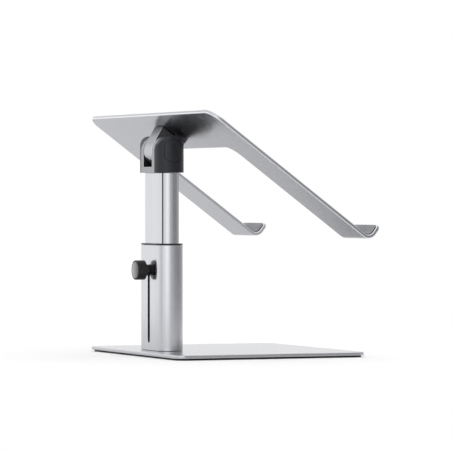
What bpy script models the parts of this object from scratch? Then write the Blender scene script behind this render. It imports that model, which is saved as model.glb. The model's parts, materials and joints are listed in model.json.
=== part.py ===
"""Laptop stand: flat base, telescopic column and a tilting, U-shaped support plate.

Metres, +Z up.  The origin is on the desk, under the middle of the column.  The user sits
on the -Y side, where the hooks hold the laptop's front edge; the clamp knob is at +Y.
The stand is built with its column fully extended and its plate tilted to the user.
"""
import math

import bmesh
import bpy
from mathutils import Vector

for leftover in list(bpy.data.objects):
    bpy.data.objects.remove(leftover, do_unlink=True)

# ---- clearances ------------------------------------------------------------------------
TOUCH_GAP = 0.0003            # between pieces that bear on each other
SCREW_GAP = 0.0003            # round every screw in its hole
RUNNING_GAP = 0.00015         # radial, hinge bolt in its bushes
SOCKET_CLEARANCE = 0.0012     # yoke over the collar when the column is right down
KNOB_CLEARANCE = 0.00125      # knob over the base plate when the column is right down
SLIDE_CLEARANCE = 0.0006      # inner tube over the column foot when it is right down
TONGUE_SIDE_GAP = 0.00045     # tongue in the yoke's slot, each side

# ---- base ------------------------------------------------------------------------------
BASE_WIDTH = 0.216
BASE_FRONT = 0.1533           # column axis to the front edge
BASE_REAR = 0.0292            # column axis to the rear edge
BASE_CORNER_RADIUS = 0.009
BASE_PLATE_THICKNESS = 0.003
BASE_PAD_THICKNESS = 0.0013
BASE_PAD_INSET = 0.0025
BASE_EDGE_CHAMFER = 0.0005

# ---- column ----------------------------------------------------------------------------
COLUMN_HALF_FLAT = 0.0159     # half of the flat between the two round ends
OUTER_TUBE_RADIUS = 0.0128
OUTER_TUBE_WALL = 0.0018
OUTER_TUBE_LENGTH = 0.0944
INNER_TUBE_WALL = 0.0018
SHOE_WALL = 0.0012            # slider shoe, between the inner tube and the bore
INNER_END_BELOW_STUD = 0.005
FOOT_THICKNESS = 0.0041
FOOT_SCREW_X = 0.013
FOOT_SCREW_Y = 0.005
COLLAR_LIP = 0.0012
COLLAR_SLEEVE = 0.0116
COLLAR_TO_SHOE = 0.0037
SHOE_ABOVE_STUD = 0.0071
GROOVE_RADIUS = 0.0007
GROOVE_ANGLE = math.radians(57)   # from the column's width axis, on each round end
PLUG_LENGTH = 0.018

# ---- clamp screw -----------------------------------------------------------------------
STUD_RADIUS = 0.00235
NUT_WIDTH = 0.014
NUT_HEIGHT = 0.0095
NUT_THICKNESS = 0.003
WASHER_RADIUS = 0.00495
WASHER_THICKNESS = 0.001
KNOB_RADIUS = 0.00875
KNOB_NECK_RADIUS = 0.00495
KNOB_NECK_LENGTH = 0.003
KNOB_LENGTH = 0.0086
KNOB_EDGE = 0.0005
KNOB_BACK_EDGE = 0.00015      # the same at the neck's end
KNOB_RIM = 0.0004
KNOB_CAP_THICKNESS = 0.001

# ---- head: yoke, hinge and covers ------------------------------------------------------
HEAD_HALF_FLAT = 0.0152
HEAD_RADIUS = 0.0139
YOKE_HALF_WIDTH = 0.0158
YOKE_RAIL = 0.0053
YOKE_EDGE = 0.0004
TONGUE_SET_BACK = 0.0002      # tongue's round inside the yoke's
TONGUE_HALF_WIDTH = 0.00955
TONGUE_FRONT = 0.0109         # hinge axis to the tongue's flat front face
TONGUE_FLARE = math.radians(6)
TONGUE_EDGE = 0.0004
COVER_EDGE = 0.0006
COVER_PEG_RADIUS = 0.0015
COVER_PEG_LENGTH = 0.0025
COVER_PEG_RISE = 0.0038       # yoke's lower face up to the pegs
COVER_PEG_SPREAD = 0.0085     # pegs in front of and behind the hinge axis
CAP_RADIUS = 0.0102
CAP_HALF_WIDTH = 0.0083
CAP_LEDGE = 0.0088            # hinge bore in the cover, behind the cap, clipped as the cap is
CAP_DEPTH = 0.0055            # cap's recess, from the head's outermost line inwards
CAP_PROUD = 0.0001            # cap set back from the cover's surface
BOLT_RADIUS = 0.003
BOLT_HEAD_RIM = 0.0025        # bolt's head, nut and springs beyond the bolt's radius
BOLT_HEAD_HEIGHT = 0.004
BOLT_SOCKET_RADIUS = 0.0023
HINGE_NUT_RIM = 0.0027
HINGE_NUT_HEIGHT = 0.005
SPRING_RIM = 0.0035
SPRING_THICKNESS = 0.0007
SPRING_DISH = 0.0004
BUSH_WALL = 0.00205

# ---- support plate ---------------------------------------------------------------------
TILT = math.radians(36.35)    # plate to the desk, front down
PLATE_CLEAR_OF_HEAD = 0.0026  # between the head's round and the plate's underside
PLATE_THICKNESS = 0.0034
PLATE_WIDTH = 0.2952
PLATE_GAP = 0.2               # between the arms
PLATE_REAR = 0.0313           # hinge axis to the rear edge, along the plate
PLATE_BRIDGE_FRONT = 0.0188   # hinge axis to the edge between the arms
PLATE_REACH = 0.1591          # hinge axis to the outside of the hooks
PLATE_REAR_CORNER = 0.0135
PLATE_INNER_CORNER = 0.0115
PLATE_EDGE = 0.0008           # rounding of the sheet's edges
HOOK_HEIGHT = 0.0172          # underside of the arm to the top of the hook
HOOK_INNER_RADIUS = 0.0054
HOOK_CORNER = 0.0055
PAD_THICKNESS = 0.0012
PAD_CORNER = 0.002
PAD_SIDE_INSET = 0.0015
HOOK_LINER_RUN = 0.009        # liner on the arm, before the bend
HOOK_LINER_TOP_INSET = 0.0015
ARM_PAD_SIDE_INSET = 0.0098
ARM_PAD_REAR_INSET = 0.012    # arm pad's rear end in front of the edge between the arms
ARM_PAD_TO_LINER = 0.006
REAR_PAD_END_INSET = 0.0376
REAR_PAD_WIDTH = 0.011
REAR_PAD_INSET = 0.0055

# ---- flat-head screws ------------------------------------------------------------------
SCREW_RADIUS = 0.0019
SCREW_HEAD_RADIUS = 0.0038
SCREW_HEAD_HEIGHT = 0.0019
SCREW_SOCKET_RADIUS = 0.0014
SCREW_SOCKET_DEPTH = 0.0011
SCREW_SINK = 0.0001           # head below the surface round it
YOKE_SCREW_SPACING = 0.0096
YOKE_SCREW_LENGTH = 0.015
PLATE_SCREW_SPACING = 0.0104
PLATE_SCREW_REAR = 0.0085
PLATE_SCREW_FRONT = 0.0055
PLATE_SCREW_CLEAR = 0.0026    # tip of a plate screw above the bush's seat

# ---- heights that follow from the sizes above ------------------------------------------
BASE_PLATE_BOTTOM = BASE_PAD_THICKNESS + TOUCH_GAP
BASE_PLATE_TOP = BASE_PLATE_BOTTOM + BASE_PLATE_THICKNESS
COLUMN_BOTTOM = BASE_PLATE_TOP + TOUCH_GAP
FOOT_TOP = COLUMN_BOTTOM + FOOT_THICKNESS
OUTER_TUBE_TOP = COLUMN_BOTTOM + OUTER_TUBE_LENGTH
COLLAR_TOP = OUTER_TUBE_TOP + TOUCH_GAP + COLLAR_LIP
SLEEVE_BOTTOM = OUTER_TUBE_TOP - COLLAR_SLEEVE
TONGUE_RADIUS = HEAD_RADIUS - TONGUE_SET_BACK
STUD_LOW = max(BASE_PLATE_TOP + KNOB_RADIUS + KNOB_CLEARANCE,
               FOOT_TOP + SLIDE_CLEARANCE + INNER_END_BELOW_STUD)
STUD_HIGH = SLEEVE_BOTTOM - COLLAR_TO_SHOE - SHOE_ABOVE_STUD
TRAVEL = STUD_HIGH - STUD_LOW
YOKE_BOTTOM = COLLAR_TOP + SOCKET_CLEARANCE + TRAVEL
YOKE_FLOOR = YOKE_BOTTOM + YOKE_RAIL
HINGE_HEIGHT = YOKE_FLOOR + TOUCH_GAP + TONGUE_RADIUS
INNER_TUBE_TOP = YOKE_BOTTOM - TOUCH_GAP
SLOT_HALF_WIDTH = TONGUE_HALF_WIDTH + TONGUE_SIDE_GAP
ARM_WIDTH = (PLATE_WIDTH - PLATE_GAP) / 2
ARM_MIDDLE = (PLATE_WIDTH + PLATE_GAP) / 4
HOOK_BEND_START = PLATE_REACH - HOOK_INNER_RADIUS - PLATE_THICKNESS
TUBE_BORE_RADIUS = OUTER_TUBE_RADIUS - OUTER_TUBE_WALL
SLIDE_OUTER_RADIUS = TUBE_BORE_RADIUS - TOUCH_GAP
SLIDE_INNER_RADIUS = SLIDE_OUTER_RADIUS - SHOE_WALL
INNER_TUBE_RADIUS = SLIDE_INNER_RADIUS - TOUCH_GAP
STUD_SLOT_RADIUS = STUD_RADIUS + TOUCH_GAP
HINGE_STACK = YOKE_HALF_WIDTH + TOUCH_GAP    # middle of the head to the disc springs
CAP_SEAT = HEAD_HALF_FLAT + HEAD_RADIUS - CAP_DEPTH
BUSH_RADIUS = BOLT_RADIUS + RUNNING_GAP + BUSH_WALL
PLATE_OFFSET = HEAD_RADIUS + PLATE_CLEAR_OF_HEAD    # hinge axis to the plate's underside
PLATE_SCREW_LENGTH = PLATE_OFFSET + PLATE_THICKNESS - SCREW_SINK \
    - BUSH_RADIUS - TOUCH_GAP - PLATE_SCREW_CLEAR

ROUND_STEPS = 24              # steps in each half circle of the column and the head
SMALL_STEPS = 10              # the same on screws, pins and bushes
CORNER_STEPS = 6
BEND_STEPS = 10
CUT_OVERRUN = 0.001           # how far a cutting shape runs past what it cuts
SMOOTH_ANGLE = math.radians(32)


# ---- outlines --------------------------------------------------------------------------
def arc(centre, radius, start, end, steps):
    """Points along an arc, with both of its ends."""
    angles = [start + (end - start) * step / steps for step in range(steps + 1)]
    return [(centre[0] + radius * math.cos(a), centre[1] + radius * math.sin(a)) for a in angles]


def slot_shape(half_flat, radius, steps):
    """A circle, or two half circles joined by flats along the first axis."""
    right = arc((half_flat, 0), radius, -math.pi / 2, math.pi / 2, steps)
    left = arc((-half_flat, 0), radius, math.pi / 2, 3 * math.pi / 2, steps)
    if half_flat == 0:
        return right[:-1] + left[:-1]
    return right + left


def rounded_outline(corners, steps=CORNER_STEPS):
    """Polygon from (x, y, radius) corners, inside corners as well as outside ones."""
    points = []
    for index, (x, y, radius) in enumerate(corners):
        corner = Vector((x, y))
        if radius == 0:
            points.append((x, y))
            continue
        before = (Vector(corners[index - 1][:2]) - corner).normalized()
        after = (Vector(corners[(index + 1) % len(corners)][:2]) - corner).normalized()
        half_angle = before.angle(after) / 2
        centre = corner + (before + after).normalized() * radius / math.sin(half_angle)
        first = corner + before * radius / math.tan(half_angle) - centre
        last = corner + after * radius / math.tan(half_angle) - centre
        start = math.atan2(first.y, first.x)
        turn = math.atan2(last.y, last.x) - start
        turn = (turn + math.pi) % (2 * math.pi) - math.pi
        points += arc(centre, radius, start, start + turn, steps)
    return points


def rectangle(x_low, x_high, y_low, y_high, radius=0.0):
    return rounded_outline([(x_low, y_low, radius), (x_high, y_low, radius),
                            (x_high, y_high, radius), (x_low, y_high, radius)])


def polygon(sides, radius, turn=0.0):
    return [(radius * math.cos(2 * math.pi * side / sides + turn),
             radius * math.sin(2 * math.pi * side / sides + turn)) for side in range(sides)]


# ---- solids ----------------------------------------------------------------------------
def finish_mesh(name, bm):
    bmesh.ops.recalc_face_normals(bm, faces=bm.faces)
    mesh = bpy.data.meshes.new(name)
    bm.to_mesh(mesh)
    bm.free()
    solid = bpy.data.objects.new(name, mesh)
    bpy.context.scene.collection.objects.link(solid)
    return solid


def extrude_outline(bm, outline, low, high, axis):
    """Closed solid between two heights along an axis, in the mesh being edited."""
    to_space = {"x": lambda a, b, h: (h, a, b),
                "y": lambda a, b, h: (a, h, b),
                "z": lambda a, b, h: (a, b, h)}[axis]
    face = bm.faces.new([bm.verts.new(to_space(a, b, low)) for a, b in outline])
    swept = bmesh.ops.extrude_face_region(bm, geom=[face])["geom"]
    far_end = [item for item in swept if isinstance(item, bmesh.types.BMVert)]
    bmesh.ops.translate(bm, verts=far_end, vec=Vector(to_space(0, 0, high - low)))


def prism(name, outline, low, high, axis="z"):
    bm = bmesh.new()
    extrude_outline(bm, outline, low, high, axis)
    return finish_mesh(name, bm)


def turned(name, profile, half_flat=0.0, hollow=False, steps=SMALL_STEPS):
    """Solid swept round Z from (radius, height) points, on a circle or a slot shape.

    A hollow one has a profile that closes on itself; any other has flat ends.
    """
    bm = bmesh.new()
    rings = [[bm.verts.new((x, y, height)) for x, y in slot_shape(half_flat, radius, steps)]
             for radius, height in profile]
    pairs = list(zip(rings, rings[1:]))
    if hollow:
        pairs.append((rings[-1], rings[0]))
    else:
        bm.faces.new(rings[0])
        bm.faces.new(rings[-1])
    for lower, upper in pairs:
        for index in range(len(lower)):
            following = (index + 1) % len(lower)
            bm.faces.new((lower[index], lower[following], upper[following], upper[index]))
    return finish_mesh(name, bm)


def settle(solid):
    """Replace a solid's mesh by what its modifiers make of it."""
    depsgraph = bpy.context.evaluated_depsgraph_get()
    mesh = bpy.data.meshes.new_from_object(solid.evaluated_get(depsgraph))
    solid.modifiers.clear()
    mesh.name = solid.name
    solid.data = mesh


def combine(solid, others, operation="DIFFERENCE"):
    """Cut other shapes from a solid, join them to it, or keep what they share."""
    for other in others:
        modifier = solid.modifiers.new(other.name, "BOOLEAN")
        modifier.operation = operation
        modifier.solver = "EXACT"
        modifier.object = other
    settle(solid)
    for other in others:
        bpy.data.objects.remove(other, do_unlink=True)
    return solid


def soften(solid, width, segments=1):
    """Chamfer or round the edges that turn sharply."""
    modifier = solid.modifiers.new("edges", "BEVEL")
    modifier.width = width
    modifier.segments = segments
    modifier.limit_method = "ANGLE"
    modifier.angle_limit = math.radians(50)
    settle(solid)
    return solid


def pin(name, radius, start, end, axis="z", centre=(0.0, 0.0), steps=SMALL_STEPS):
    """Plain round bar along an axis; centre is its place across that axis."""
    outline = [(centre[0] + a, centre[1] + b) for a, b in slot_shape(0, radius, steps)]
    return prism(name, outline, start, end, axis)


# ---- finishes --------------------------------------------------------------------------
def finish(name, colour, roughness, metallic):
    material = bpy.data.materials.new(name)
    material.use_nodes = True
    shader = material.node_tree.nodes["Principled BSDF"]
    shader.inputs["Base Color"].default_value = (*colour, 1.0)
    shader.inputs["Roughness"].default_value = roughness
    shader.inputs["Metallic"].default_value = metallic
    return material


ANODISED = finish("anodised_aluminium", (0.62, 0.63, 0.65), 0.35, 1.0)
CAST_ALUMINIUM = finish("yoke_aluminium", (0.5, 0.51, 0.53), 0.45, 1.0)
DARK_PLASTIC = finish("dark_plastic", (0.05, 0.052, 0.058), 0.45, 0.0)
BLACK_PLASTIC = finish("black_plastic", (0.02, 0.02, 0.022), 0.5, 0.0)
GLIDE_PLASTIC = finish("glide_plastic", (0.08, 0.08, 0.08), 0.55, 0.0)
STEEL = finish("steel", (0.45, 0.45, 0.46), 0.35, 1.0)
RUBBER = finish("base_rubber", (0.02, 0.02, 0.02), 0.85, 0.0)
SILICONE = finish("grey_silicone", (0.16, 0.16, 0.17), 0.75, 0.0)


def place(solid, material, parent=None, location=(0, 0, 0), rotation=(0, 0, 0)):
    """Give a solid its finish and hang it in its assembly's frame."""
    solid.data.materials.clear()
    solid.data.materials.append(material)
    solid.data.shade_smooth()
    solid.data.set_sharp_from_angle(angle=SMOOTH_ANGLE)
    solid.parent = parent
    solid.location = location
    solid.rotation_euler = rotation
    return solid


def frame_at(name, parent=None, location=(0, 0, 0), rotation=(0, 0, 0)):
    empty = bpy.data.objects.new(name, None)
    empty.parent = parent
    empty.location = location
    empty.rotation_euler = rotation
    bpy.context.scene.collection.objects.link(empty)
    return empty


# ---- fasteners -------------------------------------------------------------------------
def flat_head_screw(name, length):
    """Countersunk screw hanging down from z = 0, with a hexagon socket."""
    screw = turned(name, [(SCREW_RADIUS, -length), (SCREW_RADIUS, -SCREW_HEAD_HEIGHT),
                          (SCREW_HEAD_RADIUS, 0)])
    socket = prism("socket", polygon(6, SCREW_SOCKET_RADIUS), -SCREW_SOCKET_DEPTH, CUT_OVERRUN)
    return combine(screw, [socket])


def screw_hole(length, x, y, z, upwards=False):
    """Cutting shape for a flat-head screw whose head is flush at z."""
    profile = [(SCREW_RADIUS + SCREW_GAP, -length),
               (SCREW_RADIUS + SCREW_GAP, -SCREW_HEAD_HEIGHT),
               (SCREW_HEAD_RADIUS + SCREW_GAP, 0),
               (SCREW_HEAD_RADIUS + SCREW_GAP, CUT_OVERRUN)]
    hole = turned("screw_hole", profile)
    hole.location = (x, y, z)
    hole.rotation_euler = (math.pi if upwards else 0, 0, 0)
    return hole


# ---- base ------------------------------------------------------------------------------
def base_outline(inset=0.0):
    return rectangle(-BASE_WIDTH / 2 + inset, BASE_WIDTH / 2 - inset,
                     -BASE_FRONT + inset, BASE_REAR - inset, BASE_CORNER_RADIUS - inset)


def build_base():
    length = FOOT_TOP - BASE_PLATE_BOTTOM - SCREW_SINK - TOUCH_GAP
    places = {"front_left": (-FOOT_SCREW_X, -FOOT_SCREW_Y),
              "front_right": (FOOT_SCREW_X, -FOOT_SCREW_Y),
              "rear_left": (-FOOT_SCREW_X, FOOT_SCREW_Y),
              "rear_right": (FOOT_SCREW_X, FOOT_SCREW_Y)}

    def holes():
        return [screw_hole(FOOT_TOP, x, y, BASE_PLATE_BOTTOM, upwards=True)
                for x, y in places.values()]

    plate = prism("base_plate", base_outline(), BASE_PLATE_BOTTOM, BASE_PLATE_TOP)
    soften(plate, BASE_EDGE_CHAMFER)
    place(combine(plate, holes()), ANODISED)
    place(prism("base_pad", base_outline(BASE_PAD_INSET), 0, BASE_PAD_THICKNESS), RUBBER)

    foot = turned("column_foot", [(SLIDE_OUTER_RADIUS, COLUMN_BOTTOM),
                                  (SLIDE_OUTER_RADIUS, FOOT_TOP)], COLUMN_HALF_FLAT)
    place(combine(foot, holes()), STEEL)
    for corner, (x, y) in places.items():
        screw = flat_head_screw("foot_screw_" + corner, length)
        place(screw, STEEL, location=(x, y, BASE_PLATE_BOTTOM + SCREW_SINK),
              rotation=(math.pi, 0, 0))


# ---- column ----------------------------------------------------------------------------
def build_outer_column():
    tube = turned("outer_tube", [(OUTER_TUBE_RADIUS, COLUMN_BOTTOM),
                                 (OUTER_TUBE_RADIUS, OUTER_TUBE_TOP),
                                 (TUBE_BORE_RADIUS, OUTER_TUBE_TOP),
                                 (TUBE_BORE_RADIUS, COLUMN_BOTTOM)],
                  COLUMN_HALF_FLAT, hollow=True, steps=ROUND_STEPS)
    slot_half_flat = TRAVEL / 2 + TOUCH_GAP
    slot_middle = (STUD_HIGH + STUD_LOW) / 2
    slot = [(x, slot_middle + z)
            for z, x in slot_shape(slot_half_flat, STUD_SLOT_RADIUS, SMALL_STEPS)]
    combine(tube, [prism("slot", slot, 0, OUTER_TUBE_RADIUS + CUT_OVERRUN, "y")])
    place(tube, ANODISED)

    lip_bottom = OUTER_TUBE_TOP + TOUCH_GAP
    lip_edge = COLLAR_LIP / 3
    collar = turned("top_collar", [(SLIDE_OUTER_RADIUS, SLEEVE_BOTTOM),
                                   (SLIDE_OUTER_RADIUS, lip_bottom),
                                   (OUTER_TUBE_RADIUS, lip_bottom),
                                   (OUTER_TUBE_RADIUS, COLLAR_TOP - lip_edge),
                                   (OUTER_TUBE_RADIUS - lip_edge, COLLAR_TOP),
                                   (SLIDE_INNER_RADIUS, COLLAR_TOP),
                                   (SLIDE_INNER_RADIUS, SLEEVE_BOTTOM)],
                    COLUMN_HALF_FLAT, hollow=True, steps=ROUND_STEPS)
    place(collar, BLACK_PLASTIC)


def stud_hole(start, height):
    """Round hole through a rear wall for the clamp stud, with the slot's clearance."""
    return pin("stud_hole", STUD_SLOT_RADIUS, start, TUBE_BORE_RADIUS, "y", (0, height))


def build_mast(mast):
    """Inner tube and what is fixed in it; heights here are below the hinge axis."""
    top = INNER_TUBE_TOP - HINGE_HEIGHT
    stud = STUD_HIGH - HINGE_HEIGHT
    bottom = stud - INNER_END_BELOW_STUD
    bore = INNER_TUBE_RADIUS - INNER_TUBE_WALL

    tube = turned("inner_tube", [(INNER_TUBE_RADIUS, bottom), (INNER_TUBE_RADIUS, top),
                                 (bore, top), (bore, bottom)],
                  COLUMN_HALF_FLAT, hollow=True, steps=ROUND_STEPS)
    grooves = []
    for side in (-1, 1):
        for end in (-1, 1):
            x = side * (COLUMN_HALF_FLAT + INNER_TUBE_RADIUS * math.cos(GROOVE_ANGLE))
            y = end * INNER_TUBE_RADIUS * math.sin(GROOVE_ANGLE)
            grooves.append(pin("groove", GROOVE_RADIUS, bottom - CUT_OVERRUN,
                               top + CUT_OVERRUN, "z", (x, y), steps=5))
    place(combine(tube, grooves + [stud_hole(0, stud)]), ANODISED, mast)

    shoe_top = stud + SHOE_ABOVE_STUD
    shoe = turned("slider_shoe", [(SLIDE_OUTER_RADIUS, bottom), (SLIDE_OUTER_RADIUS, shoe_top),
                                  (SLIDE_INNER_RADIUS, shoe_top), (SLIDE_INNER_RADIUS, bottom)],
                  COLUMN_HALF_FLAT, hollow=True, steps=ROUND_STEPS)
    place(combine(shoe, [stud_hole(0, stud)]), GLIDE_PLASTIC, mast)

    nut_rear = bore - TOUCH_GAP
    nut = prism("clamp_nut", rectangle(-NUT_WIDTH / 2, NUT_WIDTH / 2, stud - NUT_HEIGHT / 2,
                                       stud + NUT_HEIGHT / 2, NUT_THICKNESS / 3),
                nut_rear - NUT_THICKNESS, nut_rear, "y")
    place(combine(nut, [stud_hole(0, stud)]), STEEL, mast)

    plug = turned("mast_plug", [(bore - TOUCH_GAP, top - PLUG_LENGTH), (bore - TOUCH_GAP, top)],
                  COLUMN_HALF_FLAT)
    place(combine(plug, yoke_screw_holes()), CAST_ALUMINIUM, mast)
    for side, x in (("left", -YOKE_SCREW_SPACING / 2), ("right", YOKE_SCREW_SPACING / 2)):
        place(flat_head_screw("yoke_screw_" + side, YOKE_SCREW_LENGTH), STEEL, mast,
              location=(x, 0, YOKE_FLOOR - HINGE_HEIGHT - SCREW_SINK))


def yoke_screw_holes():
    floor = YOKE_FLOOR - HINGE_HEIGHT
    return [screw_hole(YOKE_SCREW_LENGTH + TOUCH_GAP + SCREW_SINK, x, 0, floor)
            for x in (-YOKE_SCREW_SPACING / 2, YOKE_SCREW_SPACING / 2)]


# ---- head ------------------------------------------------------------------------------
def head_profile(drop):
    """Side view of the head: round over the hinge axis, straight down by the given drop."""
    return [(-HEAD_RADIUS, -drop), (HEAD_RADIUS, -drop)] + \
        arc((0, 0), HEAD_RADIUS, 0, math.pi, ROUND_STEPS)


def peg_places():
    height = YOKE_BOTTOM + COVER_PEG_RISE - HINGE_HEIGHT
    return [(-COVER_PEG_SPREAD, height), (COVER_PEG_SPREAD, height)]


def build_yoke(mast):
    drop = HINGE_HEIGHT - YOKE_BOTTOM
    yoke = prism("yoke", head_profile(drop), -YOKE_HALF_WIDTH, YOKE_HALF_WIDTH, "x")
    depth = HEAD_RADIUS + CUT_OVERRUN
    slot = prism("slot", rectangle(-SLOT_HALF_WIDTH, SLOT_HALF_WIDTH,
                                   YOKE_FLOOR - HINGE_HEIGHT, depth), -depth, depth, "y")
    combine(yoke, [slot])
    soften(yoke, YOKE_EDGE)
    reach = YOKE_HALF_WIDTH + CUT_OVERRUN
    cutters = [pin("bolt_hole", BOLT_RADIUS + SCREW_GAP, -reach, reach, "x")]
    cutters += yoke_screw_holes()
    for side in (-1, 1):
        for centre in peg_places():
            inner = YOKE_HALF_WIDTH + TOUCH_GAP - COVER_PEG_LENGTH - TOUCH_GAP
            cutters.append(pin("peg_hole", COVER_PEG_RADIUS + TOUCH_GAP, side * inner,
                               side * reach, "x", centre))
    place(combine(yoke, cutters), CAST_ALUMINIUM, mast)


def cap_outline(shrink=0.0, radius=CAP_RADIUS):
    """Circle about the hinge axis with its front and rear cut off straight."""
    radius = radius - shrink
    half_width = CAP_HALF_WIDTH - shrink
    lean = math.acos(half_width / radius)
    return arc((0, 0), radius, lean, math.pi - lean, ROUND_STEPS // 2) + \
        arc((0, 0), radius, math.pi + lean, 2 * math.pi - lean, ROUND_STEPS // 2)


def round_end(name, side, inner, drop, shrink=0.0):
    """One round end of the head, from a plane across it outwards."""
    radius = HEAD_RADIUS - shrink
    lean = math.acos((inner - HEAD_HALF_FLAT) / radius)
    outline = arc((HEAD_HALF_FLAT, 0), radius, -lean, lean, ROUND_STEPS)
    if side < 0:
        outline = [(-x, y) for x, y in outline]
    return prism(name, outline, -drop, HEAD_RADIUS + CUT_OVERRUN)


def build_covers(mast):
    drop = HINGE_HEIGHT - YOKE_BOTTOM
    reach = HEAD_HALF_FLAT + HEAD_RADIUS + CUT_OVERRUN
    for name, side in (("left", -1), ("right", 1)):
        inner = YOKE_HALF_WIDTH + TOUCH_GAP
        cover = round_end("side_cover_" + name, side, inner, drop)
        keep = prism("keep", head_profile(drop + CUT_OVERRUN), side * YOKE_HALF_WIDTH,
                     side * reach, "x")
        combine(cover, [keep], "INTERSECT")
        soften(cover, COVER_EDGE)
        combine(cover, [prism("cap_hole", cap_outline(), side * CAP_SEAT, side * reach, "x"),
                        prism("bolt_room", cap_outline(radius=CAP_LEDGE),
                              side * YOKE_HALF_WIDTH, side * reach, "x")])
        pegs = [pin("peg", COVER_PEG_RADIUS, side * (inner - COVER_PEG_LENGTH),
                    side * (inner + CUT_OVERRUN), "x", centre) for centre in peg_places()]
        place(combine(cover, pegs, "UNION"), DARK_PLASTIC, mast)

        cap = round_end("cover_cap_" + name, side, CAP_SEAT + TOUCH_GAP, drop, CAP_PROUD)
        keep = prism("keep", cap_outline(TOUCH_GAP), side * CAP_SEAT, side * reach, "x")
        place(combine(cap, [keep], "INTERSECT"), DARK_PLASTIC, mast)


def build_hinge_pin(mast):
    """Bolt along X, clamped by a nut through a disc spring on each side."""
    across = (0, math.pi / 2, 0)
    spring_outer = HINGE_STACK + SPRING_THICKNESS + SPRING_DISH
    head_seat = spring_outer + TOUCH_GAP
    end = CAP_SEAT - TOUCH_GAP
    head_radius = BOLT_RADIUS + BOLT_HEAD_RIM
    bolt = turned("hinge_bolt", [(head_radius, -head_seat - BOLT_HEAD_HEIGHT),
                                 (head_radius, -head_seat),
                                 (BOLT_RADIUS, -head_seat), (BOLT_RADIUS, end)])
    head_end = -head_seat - BOLT_HEAD_HEIGHT
    socket = prism("socket", polygon(6, BOLT_SOCKET_RADIUS), head_end - CUT_OVERRUN,
                   head_end + BOLT_HEAD_HEIGHT / 2)
    place(combine(bolt, [socket]), STEEL, mast, rotation=across)

    nut_end = head_seat + HINGE_NUT_HEIGHT
    nut = prism("hinge_nut", polygon(6, BOLT_RADIUS + HINGE_NUT_RIM), head_seat, nut_end)
    thread = pin("thread", BOLT_RADIUS + SCREW_GAP, 0, nut_end + CUT_OVERRUN)
    place(combine(nut, [thread]), STEEL, mast, rotation=across)

    inner = BOLT_RADIUS + SCREW_GAP
    outer = BOLT_RADIUS + SPRING_RIM
    for name, side in (("left", -1), ("right", 1)):
        dish = [(outer, HINGE_STACK), (outer, HINGE_STACK + SPRING_THICKNESS),
                (inner, spring_outer), (inner, spring_outer - SPRING_THICKNESS)]
        spring = turned("disc_spring_" + name, dish, hollow=True)
        place(spring, STEEL, mast, rotation=(0, side * math.pi / 2, 0))


# ---- clamp knob ------------------------------------------------------------------------
def build_clamp(clamp):
    """Pieces on the clamp screw's axis; heights here run out from the tube's rear face."""
    washer_base = TOUCH_GAP
    washer = turned("clamp_washer", [(WASHER_RADIUS, washer_base),
                                     (WASHER_RADIUS, washer_base + WASHER_THICKNESS),
                                     (STUD_SLOT_RADIUS, washer_base + WASHER_THICKNESS),
                                     (STUD_SLOT_RADIUS, washer_base)],
                    hollow=True, steps=ROUND_STEPS // 2)
    place(washer, BLACK_PLASTIC, clamp)

    neck = washer_base + WASHER_THICKNESS + TOUCH_GAP
    body = neck + KNOB_NECK_LENGTH
    end = body + KNOB_LENGTH
    recess = KNOB_RADIUS - KNOB_EDGE - KNOB_RIM
    recess_floor = end - KNOB_CAP_THICKNESS - TOUCH_GAP
    stud_end = recess_floor - 2 * KNOB_CAP_THICKNESS
    knob = turned("clamp_knob", [(KNOB_NECK_RADIUS, neck), (KNOB_NECK_RADIUS, body),
                                 (KNOB_RADIUS - KNOB_BACK_EDGE, body),
                                 (KNOB_RADIUS, body + KNOB_BACK_EDGE),
                                 (KNOB_RADIUS, end - KNOB_EDGE),
                                 (KNOB_RADIUS - KNOB_EDGE, end),
                                 (recess, end), (recess, recess_floor)], steps=ROUND_STEPS)
    bore = pin("bore", STUD_RADIUS + TOUCH_GAP, neck - CUT_OVERRUN, stud_end + TOUCH_GAP)
    place(combine(knob, [bore]), BLACK_PLASTIC, clamp)

    stud_start = INNER_TUBE_RADIUS - INNER_TUBE_WALL - 2 * TOUCH_GAP - NUT_THICKNESS \
        - OUTER_TUBE_RADIUS
    stud = turned("clamp_stud", [(STUD_RADIUS - KNOB_EDGE, stud_start - KNOB_EDGE),
                                 (STUD_RADIUS, stud_start), (STUD_RADIUS, stud_end)])
    place(stud, STEEL, clamp)

    cap_radius = recess - TOUCH_GAP
    cap = turned("knob_cap", [(cap_radius, end - KNOB_CAP_THICKNESS),
                              (cap_radius, end - KNOB_CAP_THICKNESS / 4),
                              (cap_radius - KNOB_CAP_THICKNESS / 4, end)], steps=ROUND_STEPS)
    place(cap, ANODISED, clamp)


# ---- support plate ---------------------------------------------------------------------
def bend_up(point):
    """Where a point of the flat sheet goes when the arm's end is bent up square."""
    past = -point.y - HOOK_BEND_START
    if past <= 0:
        return point
    middle_radius = HOOK_INNER_RADIUS + PLATE_THICKNESS / 2
    centre_height = PLATE_OFFSET + PLATE_THICKNESS + HOOK_INNER_RADIUS
    radius = centre_height - point.z
    bend = min(past / middle_radius, math.pi / 2)
    beyond = past - bend * middle_radius
    return Vector((point.x, -HOOK_BEND_START - radius * math.sin(bend),
                   centre_height - radius * math.cos(bend) + beyond))


def flat_length_to(height):
    """Flat length from the start of the bend to a height over the arm's underside."""
    middle_radius = HOOK_INNER_RADIUS + PLATE_THICKNESS / 2
    return middle_radius * math.pi / 2 + height - PLATE_THICKNESS - HOOK_INNER_RADIUS


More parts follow.
